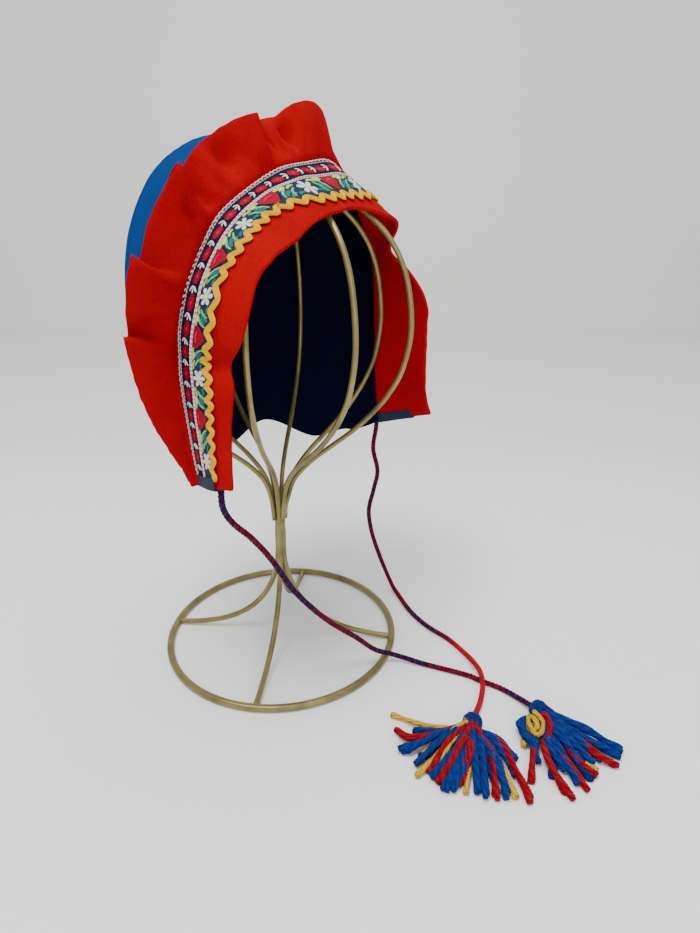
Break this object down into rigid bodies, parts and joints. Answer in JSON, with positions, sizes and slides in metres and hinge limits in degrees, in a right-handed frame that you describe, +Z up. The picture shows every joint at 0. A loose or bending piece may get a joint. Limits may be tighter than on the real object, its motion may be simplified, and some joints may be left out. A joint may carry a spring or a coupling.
{
  "type": "sami hat on wire stand",
  "caption": "Soft wool bonnet of Sami folk dress with a gathered red ruffle, woven ribbons and two tasselled yarn ties, on a plain wire balloon stand.",
  "frame": {"origin": "on the table, under the middle of the box round the stand and the hat without their cords", "axes": "+Z up; the hat's face opening looks between +X and -Y, 54 degrees from -Y towards +X"},
  "size_m": [0.3234, 0.2609, 0.3833],
  "materials": {
    "wire_stand": "satin old-gold lacquer on round wire",
    "crown": "fulled blue wool",
    "lining": "smooth dark navy lining",
    "front_band": "fulled red wool",
    "ruffle": "fulled red wool, gathered",
    "ribbon_narrow": "woven narrow ribbon with a looped edge",
    "ribbon_floral": "woven ribbon with flowers and leaves",
    "ric_rac": "yellow zigzag braid",
    "binding_left": "dark navy tape",
    "binding_right": "dark navy tape",
    "cord_left": "twisted navy and red wool yarn",
    "cord_right": "twisted navy and red wool yarn",
    "tassel_left": "loose wool yarns, blue with red and yellow",
    "tassel_right": "loose wool yarns, blue with red and yellow"
  },
  "bodies": {
    "root": {"wire_stand": "wire_stand", "crown": "crown", "lining": "lining", "front_band": "front_band", "ruffle": "ruffle", "ribbon_narrow": "ribbon_narrow", "ribbon_floral": "ribbon_floral", "ric_rac": "ric_rac", "binding_left": "binding_left", "binding_right": "binding_right", "cord_left": "cord_left", "cord_right": "cord_right", "tassel_left": "tassel_left", "tassel_right": "tassel_right"}
  },
  "joints": []
}
